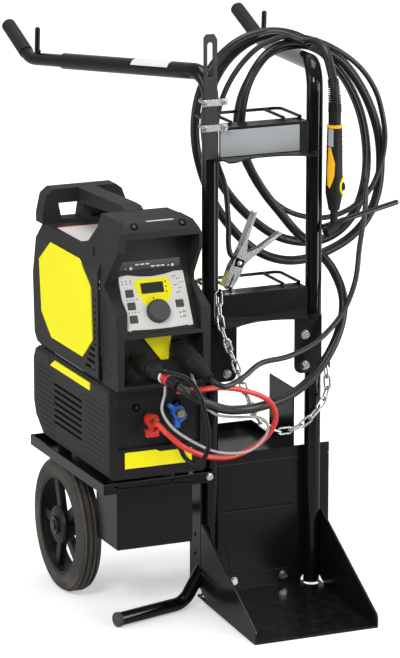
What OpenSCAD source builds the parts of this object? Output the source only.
// Welding set on a two-wheeled gas cylinder truck: a welding power source stands on
// its water cooler, on a shelf at the left of the truck, with its leads hung up behind.
// Millimetres. X right, Y back, Z up, the floor at Z = 0, midway between the uprights.

/* [Truck frame] */
// Outside diameter of the frame tube
tube_d = 30; // [28:1:32]
// Inside diameter of the frame tube
tube_bore = 25; // [24.5:0.5:26]
// Distance between the two uprights
upright_gap = 206; // [200:2:220]
// Height at which the handles bend back
bend_z = 990; // [960:5:1010]
// Diameter of the thinner handle tube
handle_d = 24; // [22:0.5:24]
// How far behind the uprights the grips start
handle_reach = 533; // [480:5:560]
// How far the grips stand out from the middle
handle_spread = 240; // [220:5:260]
// Length of each grip
grip_len = 116; // [100:2:130]
// Outside diameter of each grip
grip_d = 27; // [26:0.5:30]

/* [Cradles and toe plate] */
// Height of the top edge of the upper cradle
upper_cradle_z = 893; // [860:1:900]
// Height of the top edge of the lower cradle
lower_cradle_z = 585; // [560:1:600]
// Radius of the gas cylinder that the cradles fit
cylinder_r = 115; // [110:1:120]
// Depth of the toe plate in front of the uprights
toe_depth = 245; // [220:5:260]
// Tilt of the toe plate down to its front edge, in degrees
toe_tilt = 3; // [2:0.5:4]

/* [Shelf and wheels] */
// Left edge of the shelf, measured from the middle
shelf_left = 343; // [340:1:350]
// Height of the top of the shelf's rim
shelf_z = 278; // [276:1:280]
// Thickness of the sheet steel
sheet = 3; // [2:0.5:3.5]
// Radius of the wheels
wheel_r = 126; // [120:1:126]
// Width of the wheels
wheel_w = 42; // [38:1:44]
// Distance of the axle behind the uprights
axle_y = 193; // [188:1:196]
// Diameter of the axle
axle_d = 20; // [18:1:22]

/* [Power source and cooler] */
// Width of the power source and of the cooler
unit_w = 188; // [184:1:190]
// Height of the joint between the cooler and the power source
joint_z = 449; // [445:1:452]
// Diameter of the setting knob
knob_d = 42; // [36:1:44]

/* [Leads] */
// Diameter of the torch lead
torch_lead_d = 17; // [14:0.5:18]
// Diameter of the return lead
return_lead_d = 10; // [9:0.5:11]
// Diameter of the red coolant hose
red_hose_d = 10; // [8:0.5:11]
// Diameter of the thin grey gas hose
grey_hose_d = 5; // [4:0.5:7]
// Diameter of the control lead
control_lead_d = 9; // [7:0.5:10]

/* [Hidden] */
$fn = 48;
up_x = upright_gap / 2;
tube_r = tube_d / 2;
base_z = 20;
unit_right = -142;
unit_left = unit_right - unit_w;
unit_mid = (unit_left + unit_right) / 2;
shelf_floor = shelf_z - 20;
shelf_front = -76;
shelf_back = 287;
deck_front = 19;
deck_back = 215;
deck_right = 77;
cooler_z = shelf_floor + sheet + 21;
deck_z = 683;
top_z = 750;
left_wheel_x = -328;
right_wheel_x = 85;
clear = 0.4;

// The middle line of the right handle, from the bottom of the upright to the grip.
bend_y = 75;
bend_x = 119;
grip_dir = [0, 0.93, 0.37];
elbow_at = [handle_spread, handle_reach, bend_z - 49];
corner = [up_x, 0, bend_z + 4];
tube_end = corner + (elbow_at - corner) * 0.8;
grip_at = elbow_at + 12 * grip_dir;
grip_to = elbow_at + (12 + grip_len) * grip_dir;

// The control panel leans back. Its own frame: x across, s up the slope from its foot.
panel_foot = [unit_mid, -82, 556];
panel_lean = 26;
panel_h = 106;

// Routes of the leads, chosen by eye, in order along each lead.
torch_route = [
    [-239.7, -179, 473.8], [-230, -198, 466], [-206, -204, 450], [-170, -184, 430],
    [-112, -126, 404], [-42, -82, 391], [26, -68, 402], [82, -62, 438], [126, -54, 498],
    [146, -38, 560], [148, 10, 606], [138, 62, 634], [110, 92, 666], [82, 100, 702],
    [48, 98, 744], [18, 95, 792], [0, 94, 842], [0, 93, 896], [12, 95, 944],
    [34, 100, 978], [50, 106, 994], [57, 117.5, 1001]
];
torch_tail = [[128, 119, 1010], [128, 100, 1012], [134, 64, 1022], [134, 20, 1010], [132, -16, 966],
    [132, -24, 936], [132, -24, 912.3]];
return_route = [
    [-186, -192.7, 485.8], [-184.7, -209, 482.4], [-164, -212, 475], [-110, -164, 474], [-56, -122, 484],
    [10, -98, 484], [70, -86, 502], [126, -70, 542], [170, -36, 592],
    [204, 16, 644], [236, 62, 694], [256, 98, 728], [262, 117, 743]
];
return_tail = [[-60, 119.8, 850], [-60, 106, 847], [-54, 84, 822], [-46, 62, 770], [-45, 50, 710],
    [-47, 44, 668], [-45, 42, 650], [-38.5, 42, 642]];
red_route = [
    [-255, -107.4, 391], [-255, -120, 390.6], [-242, -138, 374], [-214, -146, 350], [-168, -142, 328],
    [-110, -124, 318], [-50, -110, 334], [-24, -114, 372], [-44, -130, 414],
    [-98, -152, 444], [-150, -160, 458], [-196, -172, 462], [-224, -166, 462], [-238.5, -161, 461.5]
];
grey_route = [
    [-251, -140, 466.5], [-253, -143, 452], [-262, -152, 426], [-246, -158, 396],
    [-214, -158, 370], [-168, -154, 343], [-120, -139, 328], [-78, -126, 326], [-48, -120, 344],
    [-42, -120, 366], [-60, -124, 384], [-96, -106, 384], [-136, -116, 394], [-160, -122, 410],
    [-174, -118, 434], [-180, -104, 460], [-180, -86, 478], [-178, -73, 484]
];
control_route = [
    [-262, -148, 494.5], [-262, -160, 498], [-254, -190, 502], [-236, -216, 494], [-218, -222, 462],
    [-202, -208, 420], [-192, -196, 388], [-187, -184, 358], [-189, -167, 333], [-196, -146, 320],
    [-204, -122, 324], [-208, -104, 341], [-208, -85.4, 345.5]
];
chain_route = [
    [-99, -30, 597.1], [-99, -32, 572], [-98, -36, 540], [-90, -39, 512], [-77, -39, 480],
    [-62, -38, 444], [-46, -36, 402], [-24, -35, 354], [8, -35, 329], [44, -35, 326],
    [78, -36, 341.2], [104, -34, 366], [120, -26, 386], [127, -12, 408], [128, -3, 428], [128, -2, 446]
];

chain_pitch = 22.3;
hook = [-99, 0, 594.4];

// ---------- helpers ----------

function unit(v) = v / norm(v);
function flip(p) = [-p.x, p.y, p.z];

// A straight round bar between two points.
module rod(p, q, d) {
    v = q - p;
    translate(p) rotate(a = acos(v.z / norm(v)), v = [-v.y, v.x, norm([v.x, v.y]) < 0.001 ? 1 : 0])
        cylinder(h = norm(v), d = d);
}

// A tube from a to c with one elbow at b. With a bore it is hollow.
module bent_tube(a, b, c, bend, d, bore = 0) {
    u = unit(a - b);
    w = unit(c - b);
    turn = 180 - acos(u * w);
    cut = bend * tan(turn / 2);
    mid = b + unit(u + w) * bend / cos(turn / 2);
    x = unit(b + u * cut - mid);
    n = unit(cross(x, b + w * cut - mid));
    y = cross(n, x);
    lap = 45;
    multmatrix([[x.x, y.x, n.x, mid.x], [x.y, y.y, n.y, mid.y], [x.z, y.z, n.z, mid.z], [0, 0, 0, 1]]) {
        translate([bend, 0, 0]) rotate([90, 0, 0])
            linear_extrude(norm(a - b) - cut) ring(d, bore);
        // the bend, a hair slimmer, runs a little way into both straight walls
        rotate([0, 0, -lap / bend]) rotate_extrude(angle = turn + 2 * lap / bend)
            translate([bend, 0]) ring(d - 0.2, bore > 0 ? bore + 0.2 : 0);
        rotate([0, 0, turn]) translate([bend, 0, 0]) rotate([-90, 0, 0])
            linear_extrude(norm(c - b) - cut) ring(d, bore);
    }
}

module ring(d, bore) {
    difference() {
        circle(d = d);
        if (bore > 0) circle(d = bore);
    }
}

// A point on a smooth curve through the route, where t runs from 0 to its last index.
function route_at(r, t) =
    let (n = len(r) - 1, i = min(floor(t), n - 1), f = t - i,
         a = r[max(i - 1, 0)], b = r[i], c = r[i + 1], d = r[min(i + 2, n)])
    0.5 * (2 * b + (c - a) * f + (2 * a - 5 * b + 4 * c - d) * f * f
        + (3 * b - a - 3 * c + d) * f * f * f);

// A cord as one closed solid swept along its route.
module cord(route, d, rings, sides = 8) {
    n = len(route) - 1;
    p = [for (k = [0 : rings]) route_at(route, k * n / rings)];
    ring = [for (k = [0 : rings])
        let (v = unit(p[min(k + 1, rings)] - p[max(k - 1, 0)]),
             s = unit(cross(v, [0.13, 0.99, 0.05])), w = cross(v, s))
        for (j = [0 : sides - 1])
            p[k] + d / 2 * (cos(360 * j / sides) * s + sin(360 * j / sides) * w)];
    faces = concat(
        [[for (j = [0 : sides - 1]) j]],
        [[for (j = [sides - 1 : -1 : 0]) rings * sides + j]],
        [for (k = [0 : rings - 1], j = [0 : sides - 1])
            let (a = k * sides + j, b = k * sides + (j + 1) % sides)
            [a, a + sides, b + sides, b]]);
    polyhedron(points = ring, faces = faces, convexity = 6);
}

// A plate drawn in the Y-Z plane, from x and t thick.
module side_plate(x, t, outline) {
    translate([x, 0, 0]) rotate([90, 0, 90]) linear_extrude(t) polygon(outline);
}

// A plate drawn in the X-Z plane, its front face at y and t deep.
module front_plate(y, t, outline) {
    translate([0, y + t, 0]) rotate([90, 0, 0]) linear_extrude(t) polygon(outline);
}

module box(from, to) {
    translate(from) cube(to - from);
}

// A point (y, z) on the back face of the sloping control panel, s up from its foot.
function panel_at(s) = [panel_foot.y + s * sin(panel_lean), panel_foot.z + s * cos(panel_lean)];

// Things drawn in the frame of the sloping control panel.
module on_panel(x, s) {
    translate(panel_foot) rotate([90 - panel_lean, 0, 0]) translate([x, s, 0]) children();
}

// ---------- truck frame ----------

module upright(side) {
    color("#17181a") bent_tube([side * up_x, 0, base_z], [side * corner.x, corner.y, corner.z],
        [side * tube_end.x, tube_end.y, tube_end.z], 42, tube_d, tube_bore);
}

module left_upright() {
    upright(-1);
    // The hook that the chain hangs on.
    color("#17181a") {
        rod([hook.x, -tube_r - 0.1, hook.z], [hook.x, -36, hook.z], 5);
        translate([hook.x, -36, hook.z - 2.5]) cylinder(h = 13, d = 5);
    }
}

module right_upright() {
    upright(1);
    // The eye that the chain ends on.
    color("#17181a") difference() {
        box([up_x + tube_r + 0.2, -5.2, 427.6], [up_x + 33, -1.8, 447.6]);
        translate([up_x + 25, 0, 437.4]) rotate([90, 0, 0]) cylinder(h = 7, d = 9);
    }
}

module handle_side(side) {
    s = [side, 0, 0];
    end = [side * tube_end.x, tube_end.y, tube_end.z];
    bend_at = [side * elbow_at.x, elbow_at.y, elbow_at.z];
    to = [side * grip_to.x, grip_to.y, grip_to.z];
    inside = unit(end - bend_at);
    bent_tube(end + inside * 40, bend_at, to - unit(to - bend_at) * 6, 60, handle_d, handle_d - 4);
    // The peg that stops a lead from slipping off, with the bead at its foot.
    foot = bend_at + inside * 22;
    translate(foot + [0, 0, handle_d / 2 + 0.4]) rotate([4, 0, 0]) {
        cylinder(h = 46, d = 10);
        translate([0, 0, 46]) cylinder(h = 3, d1 = 10, d2 = 5);
    }
    translate(foot + [0, -10.5, handle_d / 2 + 4.4]) sphere(d = 7);
}

module handle_tubes() {
    color("#17181a") for (side = [-1, 1]) handle_side(side);
}

module grips() {
    color("#1f2022") for (side = [-1, 1]) {
        a = [side * grip_at.x, grip_at.y, grip_at.z];
        b = [side * grip_to.x, grip_to.y, grip_to.z];
        v = unit(b - a);
        difference() {
            union() {
                rod(a + v * 10, b - v * 4, grip_d);
                translate(b - v * 4) rotate(a = acos(v.z), v = [-v.y, v.x, 0]) cylinder(h = 4, d1 = grip_d, d2 = grip_d - 6);
            }
            rod(a, b - v * 5.5, handle_d + 0.3);
        }
    }
}

// A folded cradle between the uprights: a face, a shelf in front that is cut to the
// cylinder, and a narrow shelf behind.
module cradle(z, h) {
    in_x = up_x - tube_r;
    color("#1b1c1e") difference() {
        union() {
            box([-in_x, -8, z - h], [in_x, -8 + sheet, z]);
            box([-in_x, -8, z - sheet], [in_x, 32, z]);
            box([-in_x, -50, z - h], [in_x, -8 + sheet, z - h + sheet]);
            // tabs in front of the tubes
            for (side = [-1, 1])
                box([side > 0 ? in_x - 1 : -in_x - 17, -26, z - h],
                    [side > 0 ? in_x + 17 : -in_x + 1, -tube_r, z - h + sheet]);
        }
        translate([0, -24 - cylinder_r, z - h - 1]) cylinder(h = sheet + 2, r = cylinder_r, $fn = 96);
        for (side = [-1, 1]) translate([side * 70, 12, z - sheet - 1]) cylinder(h = sheet + 2, d = 7);
    }
}

module upper_cradle() {
    cradle(upper_cradle_z, 57);
}

module lower_cradle() {
    cradle(lower_cradle_z, 52);
}

// The bars behind each cradle: an outer loop and two inner bars.
module rear_frame(z) {
    x = up_x - tube_r - 3;
    bar = 6;
    zc = z + bar / 2;
    for (side = [-1, 1]) {
        rod([side * 52, 22, zc], [side * 52, 108, zc], bar);
        bent_tube([side * x, 22, zc], [side * x, 110, zc], [0, 110, zc], 12, bar);
    }
}

module rear_frames() {
    color("#1b1c1e") {
        rear_frame(upper_cradle_z);
        rear_frame(lower_cradle_z);
    }
}

// The two plates below the lower cradle that clamp it to the uprights.
module bracket_outline() {
    polygon(concat([[112, lower_cradle_z - 52], [58, lower_cradle_z - 52]],
        [for (a = [180 : 15 : 270]) [72 + 14 * cos(a), 440 + 14 * sin(a)]],
        [for (a = [270 : 15 : 360]) [98 + 14 * cos(a), 440 + 14 * sin(a)]]));
}

module bracket_plates() {
    color("#1b1c1e") for (side = [-1, 1]) scale_x(side) {
        difference() {
            translate([0, -tube_r, 0]) rotate([90, 0, 0]) linear_extrude(4) bracket_outline();
            for (z = [441, 499]) translate([78, -10, z]) rotate([90, 0, 0]) cylinder(h = 12, d = 10);
        }
        // the lug welded to the upright behind the plate
        difference() {
            box([62, -tube_r, 432], [93, -tube_r + 6, 508]);
            for (z = [441, 499]) translate([78, 0, z]) rotate([90, 0, 0]) cylinder(h = 20, d = 10);
            translate([up_x, 0, 420]) cylinder(h = 100, d = tube_d);
        }
    }
}

// Mirrors its children to the left side when side is -1.
module scale_x(side) {
    if (side > 0) children();
    else mirror([1, 0, 0]) children();
}

// A hexagon bolt along -Y with its head at the front, through to a nut behind.
module bolt(x, y, z, d, grip) {
    translate([x, y, z]) rotate([90, 0, 0]) {
        cylinder(h = 1.5, d = d * 2);
        translate([0, 0, 1.5]) cylinder(h = d * 0.62, d = d * 1.75, $fn = 6);
        translate([0, 0, -grip - 8]) cylinder(h = grip + 8, d = d);
        translate([0, 0, -grip - 7]) cylinder(h = 7, d = d * 1.75, $fn = 6);
    }
}

module bolts() {
    color("#c9ccd0") {
        for (side = [-1, 1]) {
            for (z = [441, 499]) bolt(side * 78, -tube_r - 4, z, 10, 10);
            bolt(side * 50, 11, 34, 10, 7);
        }
        bolt(-137, shelf_front, 269, 8, 3);
    }
}

// ---------- lower frame ----------

module back_panel() {
    color("#26282a") difference() {
        front_plate(tube_r, sheet, [
            [-88, base_z], [88, base_z], [118, 60], [145, 110], [145, shelf_floor], [-88, shelf_floor]
        ]);
        // the joint line across the panel, and the holes of the toe plate's bolts
        box([-75, 10, 167], [69, 20, 169.5]);
        for (x = [-50, 50]) translate([x, 30, 34]) rotate([90, 0, 0]) cylinder(h = 20, d = 10);
    }
}

// Height of the toe plate's upper face above the floor, at y.
function toe_z(y) = toe_thick + (y + toe_depth) * tan(toe_tilt);
toe_thick = sheet + 1;

module toe_plate() {
    in_x = up_x - tube_r;
    out_x = up_x + tube_r + 4;
    color("#1b1c1e") difference() {
        union() {
            // the sloping plate, with a flat strip along its front edge on the floor
            side_plate(-out_x, 2 * out_x, [
                [14, toe_z(14) - toe_thick], [14, toe_z(14)], [-toe_depth, toe_thick],
                [-toe_depth, 0], [-toe_depth + 14, 0]
            ]);
            box([-in_x + 1, 11, toe_z(11) - 1], [in_x - 1, tube_r, 46]);
            for (x = [-out_x, out_x - 4]) side_plate(x, 4, [
                [-2, 30], [-2, 158], [-8, 158], [-toe_depth + 2, 25], [-toe_depth, 20],
                [-toe_depth, 0.5], [-22, toe_z(-22) - toe_thick],
                [-23, toe_z(-22) + 3]
            ]);
        }
        for (x = [-50, 50]) translate([x, 30, 34]) rotate([90, 0, 0]) cylinder(h = 30, d = 10);
        for (side = [-1, 1]) translate([side * up_x, 0, 0]) cylinder(h = 60, d = tube_d);
    }
}

module foot_tube() {
    color("#17181a") difference() {
        bent_tube([-304, -52, 14], [-160, -11, 14], [-108.8, 15.3, 71.5], 50, 25, 20);
        box([-up_x - tube_r - 4, -40, 0], [-80, 60, 120]);
    }
}

module foot_cap() {
    a = [-304, -52, 14];
    v = unit([-160, -11, 14] - a);
    color("#8d8d8b") {
        rod(a, a + v * 28, 19.6);
        rod(a - v * 7, a, 26);
        for (k = [0 : 2]) rod(a - v * (2 + 2 * k), a - v * (1 + 2 * k), 27.5);
    }
}

// The shelf: a stepped tray with a folded rim and a tall fence at its right end.
function tray_outline(t) = [
    [-shelf_left + t, shelf_front + t], [-125 - t, shelf_front + t],
    [-125 - t, deck_front + t], [deck_right - t, deck_front + t],
    [deck_right - t, deck_back - t], [-125 + t, deck_back - t],
    [-125 + t, shelf_back - t], [-shelf_left + t, shelf_back - t]
];

module shelf() {
    color("#232527") {
        difference() {
            translate([0, 0, shelf_floor]) linear_extrude(20) polygon(tray_outline(0));
            translate([0, 0, shelf_floor + sheet]) linear_extrude(20) polygon(tray_outline(sheet));
            // the bolt's hole and two small holes in the front rim
            translate([-137, 0, 269]) rotate([90, 0, 0]) cylinder(h = 100, d = 8);
            for (x = [-318, -210]) translate([x, 0, 270]) rotate([90, 0, 0]) cylinder(h = 100, d = 5);
        }
        side_plate(deck_right - sheet, sheet, [
            [deck_front + 3, shelf_z - 5], [128, shelf_z - 5], [128, 390], [deck_front + 3, 388]
        ]);
        box([deck_right - 1, deck_front, shelf_z - sheet - 12], [147, deck_front + 22, shelf_z - 12]);
        box([deck_right - 1, deck_front, shelf_floor], [147, deck_front + sheet, shelf_z]);
    }
}

module under_box() {
    color("#2b2d2f") difference() {
        box([-305, -45, 141], [-157, 55, shelf_floor]);
        box([-305 + sheet, -45 + sheet, 141 + sheet], [-157 - sheet, 55 - sheet, shelf_floor + 1]);
    }
}

// Plates in the Y-Z plane: the ones on the uprights and the ones that carry the axle.
module side_brackets() {
    out_x = up_x + tube_r;
    color("#1b1c1e") {
        difference() {
            side_plate(-out_x - 4, 4, [[0, 32], [49, 32], [49, shelf_floor], [0, shelf_floor]]);
            for (z = [94, 130]) translate([-out_x - 5, 24, z]) rotate([0, 90, 0]) cylinder(h = 6, d = 9);
        }
        side_plate(out_x, 4, [[0, 100], [15, 100], [15, shelf_floor], [0, shelf_floor]]);
        for (x = [-278, 66]) difference() {
            side_plate(x, 4, concat(
                [[axle_y + 46, shelf_floor], [axle_y - 46, shelf_floor]],
                [for (a = [200 : 20 : 340]) [axle_y + 22 * cos(a), wheel_r + 22 * sin(a)]]));
            translate([x - 1, axle_y, wheel_r]) rotate([0, 90, 0]) cylinder(h = 6, d = axle_d);
        }
    }
}

// The axle with a retaining clip at each end.
module axle() {
    color("#9a9da1") translate([left_wheel_x - 10, axle_y, wheel_r]) rotate([0, 90, 0])
        cylinder(h = right_wheel_x + wheel_w + 20 - left_wheel_x, d = axle_d);
    color("#c4c7ca") for (x = [left_wheel_x - 7, right_wheel_x + wheel_w + 3])
        translate([x, axle_y, wheel_r]) rotate([0, 90, 0]) cylinder(h = 4, d = 34);
}

// One wheel at x, its axis along X: the plastic rim with five spokes.
module rim(x) {
    r_in = wheel_r - 38;
    color("#2a2b2d") translate([x, axle_y, wheel_r]) rotate([0, 90, 0]) difference() {
        union() {
            difference() {
                cylinder(h = wheel_w - 4, r = wheel_r - 33);
                translate([0, 0, -1]) cylinder(h = wheel_w, r = r_in);
            }
            translate([0, 0, -1]) cylinder(h = wheel_w, d = 48);
            for (k = [0 : 4]) rotate(90 + 72 * k)
                translate([20, -9, wheel_w / 2 - 14]) cube([r_in - 17, 18, 12]);
        }
        translate([0, 0, -2]) cylinder(h = wheel_w + 4, d = axle_d + clear);
        translate([0, 0, -2]) cylinder(h = 12, d = 36);
    }
}

module tyre(x) {
    r = wheel_r;
    w = wheel_w;
    color("#3a3b3c") translate([x, axle_y, wheel_r]) rotate([0, 90, 0]) rotate_extrude($fn = 96) polygon(concat(
        [[r - 33, 0], [r - 33, w - 4], [r - 22, w - 1]],
        [for (a = [90 : -30 : 0]) [r - 9 + 7 * cos(a), w - 9 + 7 * sin(a)]],
        [for (g = [w - 12, w / 2 + 1, 11]) each [[r - 1, g + 2], [r - 5, g + 1.5], [r - 5, g - 1.5], [r, g - 2]]],
        [for (a = [0 : -30 : -90]) [r - 9 + 7 * cos(a), 7 + 7 * sin(a)]],
        [[r - 22, -1]]));
}

module left_rim() {
    rim(left_wheel_x + 2);
}

module right_rim() {
    rim(right_wheel_x + 2);
}

module left_tyre() {
    tyre(left_wheel_x + 1);
}

module right_tyre() {
    tyre(right_wheel_x + 1);
}

// ---------- chain, hanger and peg ----------

// The chain's curve as short steps, the length up to each, and the point at a length.
chain_line = [for (t = [0 : 0.2 : len(chain_route) - 1]) route_at(chain_route, t)];
chain_last = len(chain_line) - 1;
chain_run = [for (i = 0, s = 0; i <= chain_last;
    s = s + norm(chain_line[min(i + 1, chain_last)] - chain_line[i]), i = i + 1) s];

function chain_at(s) =
    let (i = max([for (k = [0 : chain_last - 1]) if (chain_run[k] <= s) k]))
    chain_line[i] + (chain_line[i + 1] - chain_line[i]) * (s - chain_run[i]) / (chain_run[i + 1] - chain_run[i]);

// One chain link along Z, centred.
module link() {
    wire = 4.2;
    half = 5.7;
    reach = 7.8;
    for (side = [-1, 1]) translate([side * half, 0, -reach]) cylinder(h = 2 * reach, d = wire, $fn = 16);
    for (end = [0, 180]) rotate([0, end, 0]) translate([0, 0, reach])
        rotate([90, 0, 0]) rotate_extrude(angle = 180, $fn = 24) translate([half, 0]) circle(d = wire, $fn = 16);
}

module chain() {
    count = floor(chain_run[chain_last] / chain_pitch);
    color("#c9ccd0") for (k = [0 : count - 1]) {
        p = chain_at(k * chain_pitch);
        q = chain_at((k + 1) * chain_pitch);
        v = unit(q - p);
        x = unit(cross([0, 1, 0], v));
        y = cross(v, x);
        m = (p + q) / 2;
        multmatrix([[x.x, y.x, v.x, m.x], [x.y, y.y, v.y, m.y], [x.z, y.z, v.z, m.z], [0, 0, 0, 1]])
            rotate([0, 0, 90 * (k % 2)]) link();
    }
}

module hanger_bar() {
    x = -up_x - 20;
    foot = upper_cradle_z - 57 + sheet + 1;
    color("#b9bcbe") difference() {
        front_plate(-tube_r - 4, 4, [
            [x, foot], [x + 26, foot], [x + 26, 1056], [x + 20, 1066], [x + 5, 1066], [x, 1060]
        ]);
        // the long slot at its top and the holes of the two clamps
        for (z = [897, 943], side = [-1, 1]) translate([-up_x + side * (tube_r + 3.2), 0, z])
            rotate([90, 0, 0]) cylinder(h = 40, d = 6.4);
        for (z = [994, 1046]) translate([x + 12, 0, z]) rotate([90, 0, 0]) cylinder(h = 30, d = 11);
        box([x + 6.5, -30, 994], [x + 17.5, 0, 1046]);
    }
}

// Two U-bolts round the left upright that hold the bar, with a strap and nuts in front.
module hanger_clamps() {
    r = tube_r + 3.2;
    color("#c9ccd0") for (z = [897, 943]) translate([-up_x, 0, z]) {
        rotate_extrude(angle = 180) translate([r, 0]) circle(d = 6);
        for (side = [-1, 1]) translate([side * r, 0, 0]) rotate([90, 0, 0]) {
            cylinder(h = tube_r + 17, d = 6);
            translate([0, 0, tube_r + 7.2]) cylinder(h = 5, d = 11, $fn = 6);
        }
        difference() {
            box([-r - 6, -tube_r - 7.2, -6], [r + 6, -tube_r - 4.2, 6]);
            for (side = [-1, 1]) translate([side * r, 0, 0]) rotate([90, 0, 0]) cylinder(h = 30, d = 6);
        }
    }
}

module hose_peg() {
    a = [up_x + tube_r + 1.1, 0, 692];
    v = unit([158, 10, 31]);
    color("#17181a") translate(a) rotate(a = acos(v.z), v = [-v.y, v.x, 0]) {
        cylinder(h = 160, d = 10);
        translate([0, 0, 160]) cylinder(h = 3, d1 = 10, d2 = 6);
    }
}

// ---------- cooler ----------

module cooler_profile() {
    // (y, z) outline of the cooler seen from the side
    polygon([
        [-60, cooler_z], [245, cooler_z], [290, cooler_z + 34], [300, cooler_z + 60],
        [300, joint_z - 26], [286, joint_z - 1], [-60, joint_z - 1]
    ]);
}

module unit_section(r, low, high) {
    // (x, z) outline with its corners cut by r
    polygon([
        [unit_left + r, low], [unit_right - r, low], [unit_right, low + r], [unit_right, high - r],
        [unit_right - r, high], [unit_left + r, high], [unit_left, high - r], [unit_left, low + r]
    ]);
}

module cooler_case() {
    color("#3d3f41") {
        difference() {
            intersection() {
                translate([unit_left, 0, 0]) rotate([90, 0, 90]) linear_extrude(unit_w) cooler_profile();
                translate([0, 310, 0]) rotate([90, 0, 0]) linear_extrude(400) unit_section(6, cooler_z, joint_z - 1);
            }
            // hollow inside, open at the front
            box([unit_left + 3, -70, cooler_z + 3], [unit_right - 3, 240, joint_z - 4]);
            // louvres in both sides
            for (side = [unit_left - 1, unit_right - 5], k = [0 : 6])
                box([side, 60, cooler_z + 40 + 12 * k], [side + 6, 195, cooler_z + 45 + 12 * k]);
            // the sunk strips for the yellow bars
            for (x = [unit_left - 1, unit_right - 1]) box([x, 16, joint_z - 22], [x + 2, 220, joint_z - 6]);
        }
        // four feet
        for (x = [unit_left + 30, unit_right - 30], y = [-30, 220])
            translate([x, y, shelf_floor + sheet]) cylinder(h = cooler_z - shelf_floor - sheet, d = 26);
    }
}

module cooler_front() {
    color("#2e3032") difference() {
        translate([0, -60, 0]) rotate([90, 0, 0]) linear_extrude(12) unit_section(6, cooler_z, joint_z - 1);
        // the sunk field with the couplers, and the sunk place of the label
        box([unit_left + 16, -80, cooler_z + 55], [unit_right - 12, -66, joint_z - 14]);
        box([unit_left + 28, -80, cooler_z + 17], [unit_right - 16, -70.5, cooler_z + 51]);
        for (x = [-255, -205]) translate([x, -50, x < -230 ? 391 : 402]) rotate([90, 0, 0]) cylinder(h = 30, d = 14);
        for (x = [-274, -195]) translate([x, -50, 412]) rotate([90, 0, 0]) cylinder(h = 30, d = 5);
    }
    // the round socket of the control lead
    color("#8d9092") translate([-208, -65, 346]) rotate([90, 0, 0]) cylinder(h = 18.6, d = 15);
    // its two screws
    color("#8d9092") for (x = [-274, -195]) translate([x, -60, 412]) rotate([90, 0, 0]) {
        cylinder(h = 6, d = 5);
        translate([0, 0, 6]) cylinder(h = 3, d = 10);
    }
}

module labels() {
    color("#f4e400") {
        // the plain yellow label at the front, with a step in its top edge
        front_plate(-72, 1.5, [
            [-300, 301], [-170, 301], [-170, 327], [-232, 327], [-240, 331], [-300, 331]
        ]);
        // the yellow bars along the cooler's two sides
        for (x = [unit_left - 1, unit_right - 1]) side_plate(x, 2, [
            [20, joint_z - 21], [214, joint_z - 21], [190, joint_z - 7], [20, joint_z - 7]
        ]);
        // the label between the sockets
        front_plate(-64, 1.5, [[-262, 540], [-206, 540], [-212, 494], [-226, 494]]);
    }
}

module coolant_tank() {
    color("#d8d6c8") difference() {
        box([unit_left + 10, 20, cooler_z + 3], [unit_right - 10, 130, joint_z - 12]);
        box([unit_left + 14, 24, cooler_z + 7], [unit_right - 14, 126, joint_z - 16]);
        translate([unit_mid, 75, joint_z - 20]) cylinder(h = 20, d = 30);
    }
}

module coolant_pump() {
    color("#6b6f73") {
        box([-290, 150, cooler_z + 3], [-190, 232, cooler_z + 14]);
        translate([-288, 190, cooler_z + 50]) rotate([0, 90, 0]) cylinder(h = 70, d = 72);
        translate([-218, 190, cooler_z + 50]) rotate([0, 90, 0]) cylinder(h = 26, d = 52);
        box([-270, 170, cooler_z + 13], [-236, 210, cooler_z + 30]);
    }
}

// The pull-back collar of a coolant coupler, which slides on its brass nipple.
module collar(x, z) {
    translate([x, -78, z]) rotate([90, 0, 0]) difference() {
        union() {
            cylinder(h = 18, d = 22);
            translate([0, 0, 12]) cylinder(h = 4, d = 25);
            translate([-5, -30, 4]) cube([10, 22, 8]);
        }
        translate([0, 0, -1]) cylinder(h = 20, d = 14 + clear);
    }
}

module red_coupler() {
    color("#e0322c") collar(-255, 391);
}

module blue_coupler() {
    color("#1c6fd0") collar(-205, 402);
}

// ---------- power source ----------

module source_case() {
    color("#3d3f41") difference() {
        intersection() {
            // side view
            translate([unit_left, 0, 0]) rotate([90, 0, 90]) linear_extrude(unit_w) polygon([
                [-20, joint_z], [272, joint_z], [294, joint_z + 24], [300, 585], [290, 626],
                [276, deck_z], [70, deck_z], [34, top_z - 2], [-20, top_z]
            ]);
            // front view
            translate([0, 320, 0]) rotate([90, 0, 0]) linear_extrude(400) polygon([
                [unit_left + 8, joint_z], [unit_right - 8, joint_z], [unit_right, joint_z + 10],
                [unit_right, 655], [unit_right - 28, top_z - 30], [unit_right - 30, top_z],
                [unit_left + 30, top_z], [unit_left + 28, top_z - 30], [unit_left, 655],
                [unit_left, joint_z + 10]
            ]);
        }
        // hollow, open at the front and closed by the rear cover
        box([unit_left + 4, -30, joint_z + 4], [unit_right - 4, 268, 640]);
        box([unit_left + 34, -30, 636], [unit_right - 34, 60, deck_z - 6]);
        box([unit_left + 40, 100, joint_z + 20], [unit_right - 40, 310, 620]);
        // sunk fields for the yellow panels
        for (x = [unit_left - 1, unit_right - 1]) side_plate(x, 2, octagon(1.5));
        // louvres low on both sides
        for (side = [unit_left - 1, unit_right - 5], k = [0 : 3])
            box([side, -6, 470 + 12 * k], [side + 6, 40 - 8 * k, 475 + 12 * k]);
    }
}

function octagon(g) = [
    [206, 661 + g], [65, 661 + g], [11 - g, 621], [4 - g, 524],
    [52, 483 - g], [203, 483 - g], [253 + g, 522], [263 + g, 619]
];

module side_panels() {
    color("#f4e400") for (x = [unit_left - 1.5, unit_right - 1]) side_plate(x, 2.5, octagon(0));
}

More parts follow.
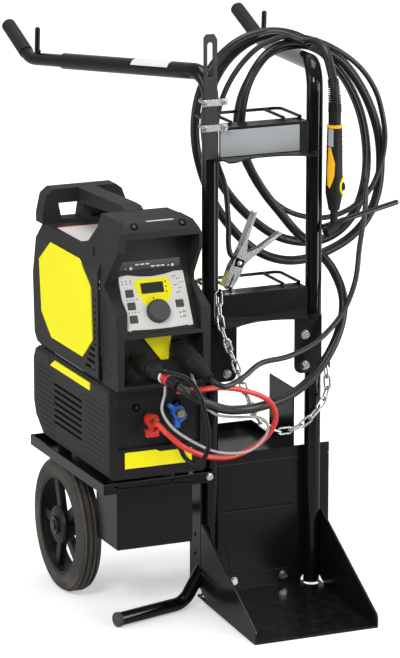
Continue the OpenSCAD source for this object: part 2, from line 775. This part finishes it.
// The front frame: a deep hood above, the sloping field for the controls, and the
// sunk field with the sockets below.
module source_bezel() {
    color("#33353a") difference() {
        intersection() {
            side_plate(unit_left, unit_w, [
                [-20, joint_z], [-20, top_z], [-76, top_z], [-88, top_z - 14], [-84, 640],
                [-96, 592], [-96, joint_z + 6], [-90, joint_z]
            ]);
            translate([0, 0, 0]) rotate([90, 0, 0]) linear_extrude(200) polygon([
                [unit_left + 8, joint_z], [unit_right - 2, joint_z], [unit_right - 2, 590],
                [unit_right - 12, 640], [unit_right - 14, 724], [unit_right - 28, top_z],
                [unit_left + 28, top_z], [unit_left + 14, 724], [unit_left + 4, 640], [unit_left + 4, 590]
            ]);
        }
        // the field of the controls, under the hood
        side_plate(unit_left + 26, unit_w - 46, [
            [-120, 552], panel_at(-4), panel_at(panel_h), [panel_at(panel_h).x + 6, 716], [-120, 728]
        ]);
        // room behind the keys and the knob's spindle
        for (k = [[-47, 68], [-47, 45], [-47, 21], [45, 42]])
            on_panel(k.x, k.y) translate([-7.5, -7, -2]) cube([15, 14, 3]);
        on_panel(0, 31) translate([0, 0, -4]) cylinder(h = 6, d = 12);
        // the field of the sockets
        box([unit_left + 20, -120, joint_z + 10], [unit_right - 16, -60, 545]);
        for (x = [-272, -195]) translate([x, -10, x < -230 ? 500 : 512]) rotate([90, 0, 0]) cylinder(h = 60, d = 30);
        // hollow behind
        box([unit_left + 20, -54, joint_z + 10], [unit_right - 20, -10, 540]);
        translate([-178, -50, 484]) rotate([90, 0, 0]) cylinder(h = 20, d = 10.8);
        // two screw holes in the hood
        for (x = [-296, -178]) translate([x, -56, top_z - 6]) cylinder(h = 10, d = 7);
    }
}

module source_rear() {
    color("#2c2e30") {
        difference() {
            box([unit_left + 40, 292, joint_z + 20], [unit_right - 40, 297, 620]);
            translate([unit_mid, 280, 530]) rotate([-90, 0, 0]) cylinder(h = 30, d = 92);
        }
        // the guard over the fan
        for (r = [16, 30, 44]) translate([unit_mid, 297, 530]) rotate([-90, 0, 0]) difference() {
            cylinder(h = 3, r = r);
            translate([0, 0, -1]) cylinder(h = 5, r = r - 3);
        }
        for (a = [0 : 60 : 120]) translate([unit_mid, 295.5, 530]) rotate([0, a, 0])
            box([-48, 0, -1.5], [48, 3, 1.5]);
    }
}

// The carrying handle: a rear arch with a window, and a grip bar to the hood.
module carry_handle() {
    color("#35373a") {
        difference() {
            front_plate(262, 34, [
                [unit_left + 6, deck_z], [unit_right - 6, deck_z], [unit_right - 10, 700],
                [unit_right - 24, 738], [unit_right - 36, 747], [unit_left + 28, 747],
                [unit_left + 14, 736], [unit_left + 6, 700]
            ]);
            // windows each side of the grip bar
            front_plate(250, 60, [[-292, 720], [-241, 720], [-246, 689], [-286, 689]]);
            front_plate(250, 60, [[-180, 720], [-231, 720], [-226, 689], [-186, 689]]);
        }
        // the grip bar
        side_plate(unit_mid - 18, 36, [
            [263, 747], [263, 722], [240, 721], [60, 733], [42.6, 734], [34.9, 748], [44, 753],
            [70, 754], [220, 748]
        ]);
    }
}

module power_module() {
    color("#8a8d90") {
        box([unit_left + 30, 20, joint_z + 30], [unit_right - 30, 24, 610]);
        for (k = [0 : 7]) box([unit_left + 36 + 16 * k, 24, joint_z + 40], [unit_left + 40 + 16 * k, 74, 600]);
        box([unit_left + 4, 10, joint_z + 20], [unit_right - 4, 20, joint_z + 30]);
        box([unit_left + 4, 60, joint_z + 4], [unit_left + 12, 200, joint_z + 30]);
        // the fan's motor on its bar
        box([unit_left + 40, 256, 524], [unit_right - 40, 260, 536]);
        translate([unit_mid, 238, 530]) rotate([-90, 0, 0]) cylinder(h = 37.6, d = 34);
    }
}

module control_panel() {
    color("#eeeeea") on_panel(0, 0) difference() {
        linear_extrude(3) polygon(concat(
            [[-64, 2], [-58, 0]], [for (a = [-20 : 5 : 20]) [58 * a / 22, 2 - 2 * cos(4.5 * a)]],
            [[58, 0], [64, 2], [62, panel_h - 2]],
            [for (a = [20 : -5 : -20]) [56 * a / 20, panel_h - 8 * cos(4.5 * a) * cos(4.5 * a)]],
            [[-62, panel_h - 2]]));
        translate([0, 31, -1]) cylinder(h = 5, d = 12);
        translate([-24, 65, 1]) cube([44, 20, 3]);
        for (s = [21, 45, 68]) translate([-54.5, s - 7, -1]) cube([15, 14, 5]);
        translate([37.5, 35, -1]) cube([15, 14, 5]);
    }
}

module display_lens() {
    color("#101114") on_panel(0, 0) translate([-23.7, 65.3, 1]) cube([43.4, 19.4, 2.6]);
}

module knob() {
    color("#7d7f82") on_panel(0, 31) {
        translate([0, 0, -3]) cylinder(h = 8, d = 11);
        translate([0, 0, 3.5]) cylinder(h = 13, d1 = knob_d, d2 = knob_d - 3);
        translate([0, 0, 16.5]) cylinder(h = 1.5, d1 = knob_d - 3, d2 = knob_d - 7);
    }
}

module key(x, s) {
    color("#5c5f63") on_panel(x, s) translate([-7, -6.5, 0.5]) cube([14, 13, 5]);
}

module button_top() {
    key(-47, 68);
}

module button_middle() {
    key(-47, 45);
}

module button_low() {
    key(-47, 21);
}

module button_right() {
    key(45, 42);
}

// Current sockets in the power source and coolant nipples in the cooler.
module sockets() {
    color("#b9953e") {
        for (p = [[-272, 500], [-195, 512]]) translate([p.x, -44, p.y]) rotate([90, 0, 0]) difference() {
            union() {
                cylinder(h = 18, d = 29);
                cylinder(h = 4, d = 36);
            }
            translate([0, 0, 4]) cylinder(h = 20, d = 15);
        }
        // the gas outlet
        translate([-178, -56, 484]) rotate([90, 0, 0]) {
            cylinder(h = 10, d = 9, $fn = 6);
            cylinder(h = 16, d = 6);
        }
        for (p = [[-255, 391], [-205, 402]]) translate([p.x, -56, p.y]) rotate([90, 0, 0]) {
            cylinder(h = 50, d = 14);
            cylinder(h = 4, d = 20, $fn = 6);
            translate([0, 0, 12]) cylinder(h = 6, d = 19, $fn = 6);
        }
    }
}

module fan() {
    color("#232527") translate([unit_mid, 276, 530]) rotate([-90, 0, 0]) {
        cylinder(h = 13, d = 30);
        for (k = [0 : 6]) rotate(360 / 7 * k) translate([10, -9, 5]) rotate([28, 0, 0]) cube([32, 18, 2]);
    }
}

// ---------- torch, plugs and clamp ----------

torch_x = 132;
torch_y = -24;

module torch_body() {
    color("#232426") translate([torch_x, torch_y, 0]) difference() {
        union() {
            translate([0, 0, 760]) cylinder(h = 120, d1 = 32, d2 = 27);
            translate([0, 0, 728]) cylinder(h = 32, d1 = 20, d2 = 32);
            translate([0, 0, 880]) cylinder(h = 32, d = 23);
        }
        translate([6, -8, 752]) cube([20, 16, 36]);
    }
}

module torch_button() {
    color("#f4d400") translate([torch_x, torch_y, 770]) rotate([0, 90, 0])
        translate([0, 0, 8]) cylinder(h = 11, d = 15);
}

module torch_head() {
    color("#26272a") {
        translate([torch_x, torch_y, 702]) cylinder(h = 25.8, d = 14);
        rod([torch_x + 6, torch_y, 700], [torch_x - 20, torch_y - 8, 688], 17);
        rod([torch_x - 2, torch_y, 696], [torch_x + 22, torch_y + 4, 706], 10);
    }
}

module plug(a, b, d_back, d_front) {
    v = unit(b - a);
    n = norm(b - a);
    translate(a) rotate(a = acos(v.z), v = [-v.y, v.x, 0]) {
        cylinder(h = n * 0.5, d = d_back);
        translate([0, 0, n * 0.5]) cylinder(h = n * 0.5, d1 = d_back, d2 = d_front);
    }
}

module torch_plug() {
    color("#2b2c2e") {
        plug([-271, -70, 499], [-240, -178, 474], 34, 22);
        rod([-272, -49, 500], [-272, -76, 500], 14);
    }
}

module return_plug() {
    color("#2b2c2e") {
        plug([-195, -67, 512], [-186, -192, 486], 36, 15);
        rod([-195, -49, 512], [-195, -76, 512], 14);
    }
}

// The earth clamp: two halves of folded sheet on a pin, which bite the bar of the frame
// behind the lower cradle. Each half has a handle above the pin and a jaw below it.
clamp_pin = [-30, 42, 631];
jaw_turn = 27;

module clamp_sheet(y, t, handle_turn, side) {
    translate([clamp_pin.x, clamp_pin.y + y, clamp_pin.z]) rotate([90, 0, 0]) translate([0, 0, -t]) linear_extrude(t) {
        rotate(-handle_turn) polygon([
            [-7 * side, -4], [-9 * side, 30], [-9 * side, 94], [3 * side, 94], [2 * side, 40], [8 * side, 0]
        ]);
        rotate(-jaw_turn) polygon([
            [-10 * side, 8], [8 * side, 8], [8 * side, -12], [-3.4 * side, -22], [-3.4 * side, -50],
            [-10 * side, -50], [-13 * side, -14]
        ]);
    }
}

// A strip along one outer edge of a half, between its two side sheets.
module clamp_strip(half, turn, side, x, low, high) {
    translate(clamp_pin) rotate([0, turn, 0]) mirror([side > 0 ? 0 : 1, 0, 0])
        box([x, -half + 0.4, low], [x + 1.5, half - 0.4, high]);
}

module clamp_web(half, handle_turn, side) {
    clamp_strip(half, handle_turn, side, -8.6, 30.5, 93);
    clamp_strip(half, jaw_turn, side, -9.7, -49.5, -25);
    clamp_strip(half, jaw_turn, side, -5.2, -49, -36);
}

module clamp_fixed_jaw() {
    color("#c9ccd0") {
        clamp_sheet(-9, 1.5, 12, 1);
        clamp_sheet(7.5, 1.5, 12, 1);
        clamp_web(9, 12, 1);
        // the pin with its two heads
        translate(clamp_pin) rotate([90, 0, 0]) {
            translate([0, 0, -11]) cylinder(h = 22, d = 6);
            for (z = [-12, 9]) translate([0, 0, z]) cylinder(h = 3, d = 10);
        }
    }
}

module clamp_moving_jaw() {
    color("#b0672e") difference() {
        union() {
            clamp_sheet(-7, 1.5, 63, -1);
            clamp_sheet(5.5, 1.5, 63, -1);
            clamp_web(7, 63, -1);
        }
        translate(clamp_pin) rotate([90, 0, 0]) translate([0, 0, -13]) cylinder(h = 26, d = 6 + clear);
    }
}

// ---------- leads ----------

module torch_lead() {
    color("#1c1d1f") {
        cord(torch_route, torch_lead_d, 42, 10);
        cord(torch_tail, torch_lead_d, 10, 10);
    }
}

module return_lead() {
    color("#1c1d1f") {
        cord(return_route, return_lead_d, 24);
        cord(return_tail, return_lead_d, 14);
    }
}

module red_hose() {
    color("#d8342c") cord(red_route, red_hose_d, 26);
}

module grey_hose() {
    color("#b9b8b4") cord(grey_route, grey_hose_d, 34);
}

module control_lead() {
    color("#1c1d1f") cord(control_route, control_lead_d, 20);
}

// The hanging turns of both leads, as one closed ring.
module lead_coil() {
    r = 165;
    low = 793;
    high = 850.2;
    color("#1c1d1f") translate([105, 135, low]) rotate([90, 0, 0]) {
        for (side = [-1, 1]) translate([side * r, 0, 0]) rotate([-90, 0, 0]) cylinder(h = high - low, d = 30);
        translate([0, high - low, 0]) rotate_extrude(angle = 180) translate([r, 0]) circle(d = 30);
        rotate(180) rotate_extrude(angle = 180) translate([r, 0]) circle(d = 30);
    }
}

// ---------- what is drawn ----------

// Everything above is measured from the floor midway between the uprights. The part's
// origin is on the floor at the middle of the toe plate's front edge.
module at_origin() {
    translate([0, toe_depth - 7, 0]) children();
}

at_origin() left_upright();
at_origin() right_upright();
at_origin() handle_tubes();
at_origin() grips();
at_origin() upper_cradle();
at_origin() lower_cradle();
at_origin() rear_frames();
at_origin() bracket_plates();
at_origin() bolts();
at_origin() back_panel();
at_origin() toe_plate();
at_origin() foot_tube();
at_origin() foot_cap();
at_origin() shelf();
at_origin() under_box();
at_origin() side_brackets();
at_origin() axle();
at_origin() left_rim();
at_origin() left_tyre();
at_origin() right_rim();
at_origin() right_tyre();
at_origin() chain();
at_origin() hanger_bar();
at_origin() hanger_clamps();
at_origin() hose_peg();
at_origin() cooler_case();
at_origin() cooler_front();
at_origin() labels();
at_origin() coolant_tank();
at_origin() coolant_pump();
at_origin() red_coupler();
at_origin() blue_coupler();
at_origin() source_case();
at_origin() source_bezel();
at_origin() source_rear();
at_origin() carry_handle();
at_origin() side_panels();
at_origin() power_module();
at_origin() control_panel();
at_origin() display_lens();
at_origin() knob();
at_origin() button_top();
at_origin() button_middle();
at_origin() button_low();
at_origin() button_right();
at_origin() sockets();
at_origin() fan();
at_origin() torch_body();
at_origin() torch_button();
at_origin() torch_head();
at_origin() torch_plug();
at_origin() return_plug();
at_origin() clamp_fixed_jaw();
at_origin() clamp_moving_jaw();
at_origin() torch_lead();
at_origin() return_lead();
at_origin() red_hose();
at_origin() grey_hose();
at_origin() control_lead();
at_origin() lead_coil();
